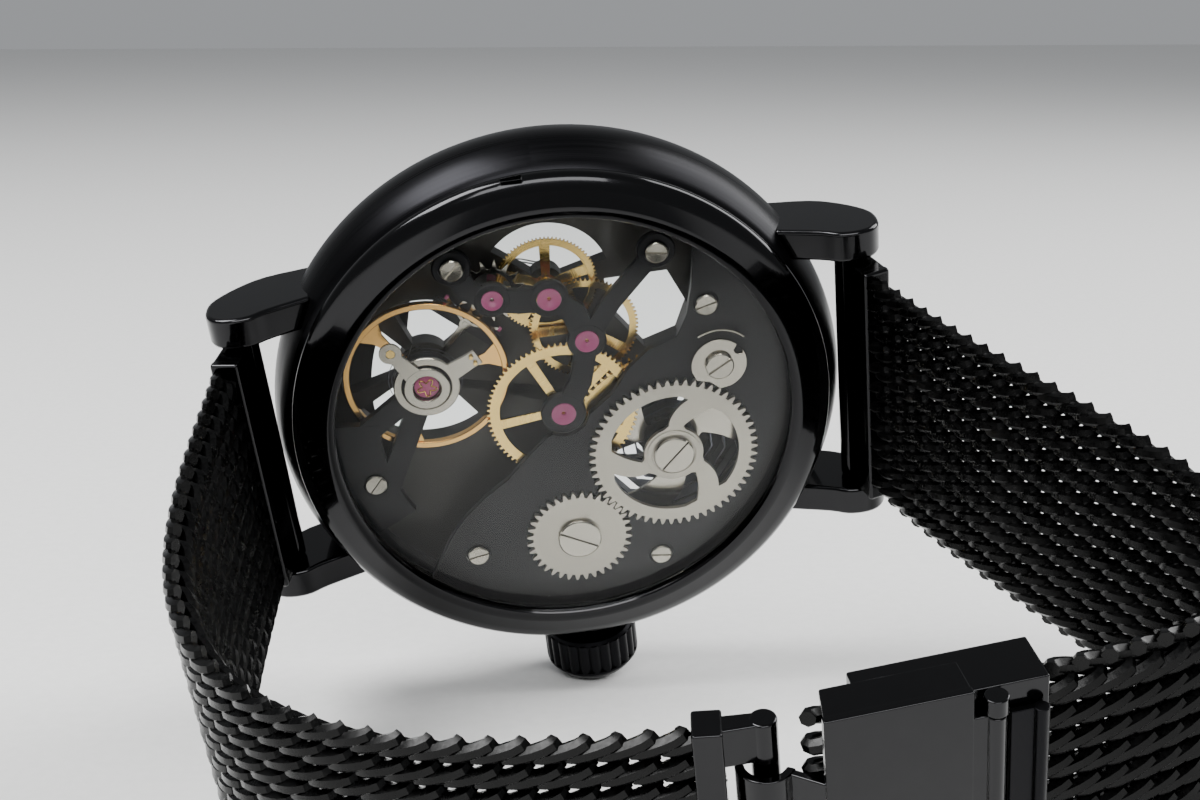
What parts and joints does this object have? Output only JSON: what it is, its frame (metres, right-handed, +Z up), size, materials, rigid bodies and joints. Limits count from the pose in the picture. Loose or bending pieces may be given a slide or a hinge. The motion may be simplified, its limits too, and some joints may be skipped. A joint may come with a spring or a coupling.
{
  "type": "wristwatch",
  "caption": "Skeleton hand-wound wristwatch with a glass case back and a closed black mesh strap with a hinged clasp, resting on its crown and the strap's edge.",
  "frame": {"origin": "centre of the bounding box on the ground, where the crown, the clasp and the strap's edge rest", "axes": "+Z up; the glass case back faces mostly -Y and the dial mostly +Y; the crown points down and the 12 o'clock side is at -X"},
  "size_m": [0.0664, 0.067, 0.0474],
  "materials": {
    "black_steel": "polished black coating on steel",
    "brass": "gilt brass",
    "bridge_black": "fine-grained black coating on brass plates",
    "dial_black": "matt black paint",
    "glass": "clear flat crystal",
    "gold_rim": "polished gilt alloy",
    "plate_grey": "frosted dark nickel plating",
    "ruby": "polished synthetic ruby, pink to violet",
    "satin_black_steel": "satin black coating on steel",
    "seal_rubber": "black rubber",
    "spring_steel": "dark tempered spring steel",
    "steel": "fine-brushed steel, beige-grey"
  },
  "bodies": {
    "case": {"back_crystal": "glass", "back_gasket": "seal_rubber", "balance_cock": "bridge_black", "barrel_bridge": "bridge_black", "barrel_bridge_screw": "steel", "bezel": "black_steel", "case_back": "black_steel", "click_screw": "steel", "click_spring": "steel", "cock_screw": "steel", "crown_tube": "steel", "crown_wheel_screw": "steel", "crystal_gasket": "seal_rubber", "dial_ring": "dial_black", "front_crystal": "glass", "jewel_centre": "ruby", "jewel_escape": "ruby", "jewel_fourth": "ruby", "jewel_third": "ruby", "main_plate": "plate_grey", "mid_case": "satin_black_steel", "movement_ring": "bridge_black", "pallet_bridge": "bridge_black", "shock_jewel": "ruby", "spring_bar_12": "steel", "spring_bar_6": "steel", "train_bridge": "bridge_black", "train_bridge_screw": "steel"},
    "stem": {"winding_stem": "steel"},
    "crown": {"crown": "satin_black_steel"},
    "crown_wheel": {"crown_wheel": "steel"},
    "ratchet": {"ratchet_wheel": "steel", "ratchet_screw": "steel", "barrel_arbor": "steel"},
    "click": {"click": "steel"},
    "barrel": {"barrel": "brass", "mainspring": "spring_steel"},
    "centre": {"centre_wheel": "brass", "cannon_pinion": "steel", "minute_hand": "steel"},
    "third": {"third_wheel": "brass"},
    "fourth": {"fourth_wheel": "brass", "seconds_hand": "steel"},
    "escape": {"escape_wheel": "steel"},
    "minute_works": {"minute_wheel": "steel"},
    "hour_works": {"hour_wheel": "brass", "hour_hand": "steel"},
    "pallet_fork": {"pallet_fork": "steel"},
    "balance": {"balance_wheel": "gold_rim", "hairspring": "spring_steel"},
    "regulator": {"regulator_index": "steel"},
    "stud": {"stud_carrier": "steel"},
    "strap_12_half": {"strap_12": "satin_black_steel", "strap_end_12": "black_steel", "strap_12_bar": "black_steel"},
    "strap_6_half": {"strap_6": "satin_black_steel", "strap_end_6": "black_steel", "clasp_slider": "black_steel"},
    "clasp_cover": {"clasp_cover": "black_steel"},
    "clasp_lock": {"clasp_lock_lever": "black_steel"}
  },
  "joints": [
    {"name": "crown_pull", "type": "slide", "parent": "case", "child": "stem", "axis": [0.1354, 0.2985, -0.9447], "range_m": [0, 0.001]},
    {"name": "crown_turn", "type": "hinge", "parent": "stem", "child": "crown", "pos_m": [-0.00216, 0.02959, 0.00262], "axis": [0.1354, 0.2985, -0.9447], "continuous": true},
    {"name": "crown_wheel_turn", "type": "hinge", "parent": "case", "child": "crown_wheel", "pos_m": [-0.00402, 0.02311, 0.01483], "axis": [0, 0.9535, 0.3013], "continuous": true},
    {"name": "ratchet_turn", "type": "hinge", "parent": "case", "child": "ratchet", "pos_m": [0.00314, 0.02083, 0.02207], "axis": [0, 0.9535, 0.3013], "continuous": true},
    {"name": "click_lift", "type": "hinge", "parent": "case", "child": "click", "pos_m": [0.00617, 0.01844, 0.02962], "axis": [0, 0.9535, 0.3013], "range_deg": [0, 5], "stiffness_Nm_per_rad": 0.00001},
    {"name": "barrel_turn", "type": "hinge", "parent": "case", "child": "barrel", "pos_m": [0.00314, 0.02083, 0.02207], "axis": [0, 0.9535, 0.3013], "continuous": true},
    {"name": "centre_turn", "type": "hinge", "parent": "case", "child": "centre", "pos_m": [-0.00555, 0.01974, 0.02549], "axis": [0, 0.9535, 0.3013], "continuous": true},
    {"name": "third_turn", "type": "hinge", "parent": "case", "child": "third", "pos_m": [-0.00396, 0.01785, 0.0315], "axis": [0, 0.9535, 0.3013], "continuous": true},
    {"name": "fourth_turn", "type": "hinge", "parent": "case", "child": "fourth", "pos_m": [-0.00691, 0.01676, 0.03494], "axis": [0, 0.9535, 0.3013], "continuous": true},
    {"name": "escape_turn", "type": "hinge", "parent": "case", "child": "escape", "pos_m": [-0.01112, 0.01676, 0.03493], "axis": [0, 0.9535, 0.3013], "continuous": true},
    {"name": "minute_wheel_turn", "type": "hinge", "parent": "case", "child": "minute_works", "pos_m": [-0.00925, 0.02342, 0.02646], "axis": [0, 0.9535, 0.3013], "continuous": true},
    {"name": "hour_wheel_turn", "type": "hinge", "parent": "case", "child": "hour_works", "pos_m": [-0.00555, 0.02375, 0.02676], "axis": [0, 0.9535, 0.3013], "continuous": true},
    {"name": "pallet_rock", "type": "hinge", "parent": "case", "child": "pallet_fork", "pos_m": [-0.01304, 0.01758, 0.03235], "axis": [0, 0.9535, 0.3013], "range_deg": [-3, 3]},
    {"name": "balance_swing", "type": "hinge", "parent": "case", "child": "balance", "pos_m": [-0.01601, 0.01884, 0.02836], "axis": [0, 0.9535, 0.3013], "range_deg": [-270, 270], "stiffness_Nm_per_rad": 0.000004},
    {"name": "regulator_shift", "type": "hinge", "parent": "case", "child": "regulator", "pos_m": [-0.01601, 0.01884, 0.02836], "axis": [0, 0.9535, 0.3013], "range_deg": [-6, 6]},
    {"name": "stud_shift", "type": "hinge", "parent": "case", "child": "stud", "pos_m": [-0.01601, 0.01884, 0.02836], "axis": [0, 0.9535, 0.3013], "range_deg": [-6, 6]},
    {"name": "strap_12_swing", "type": "hinge", "parent": "case", "child": "strap_12_half", "pos_m": [-0.02814, 0.02096, 0.02263], "axis": [0.1354, 0.2985, -0.9447], "range_deg": [0, 6]},
    {"name": "strap_6_swing", "type": "hinge", "parent": "case", "child": "strap_6_half", "pos_m": [0.01704, 0.0191, 0.02852], "axis": [0.1354, 0.2985, -0.9447], "range_deg": [-6, 0]},
    {"name": "clasp_cover_open", "type": "hinge", "parent": "strap_6_half", "child": "clasp_cover", "pos_m": [0.01255, -0.02971, 0.01245], "axis": [-0.1354, -0.2985, 0.9447], "range_deg": [0, 110]},
    {"name": "lock_lever_open", "type": "hinge", "parent": "strap_6_half", "child": "clasp_lock", "pos_m": [0.01501, -0.02953, 0.01287], "axis": [-0.1354, -0.2985, 0.9447], "range_deg": [0, 60]}
  ],
  "couplings": [
    {"joint": "crown_wheel_turn", "follows": "crown_turn", "ratio": 0.33333},
    {"joint": "ratchet_turn", "follows": "crown_turn", "ratio": -0.2069},
    {"joint": "third_turn", "follows": "fourth_turn", "ratio": -0.13333},
    {"joint": "centre_turn", "follows": "fourth_turn", "ratio": 0.016667},
    {"joint": "barrel_turn", "follows": "fourth_turn", "ratio": -0.0020833},
    {"joint": "escape_turn", "follows": "fourth_turn", "ratio": -10},
    {"joint": "minute_wheel_turn", "follows": "fourth_turn", "ratio": -0.0055556},
    {"joint": "hour_wheel_turn", "follows": "fourth_turn", "ratio": 0.0013889},
    {"joint": "strap_12_swing", "follows": "clasp_cover_open", "ratio": 0.05},
    {"joint": "strap_6_swing", "follows": "clasp_cover_open", "ratio": -0.05}
  ]
}
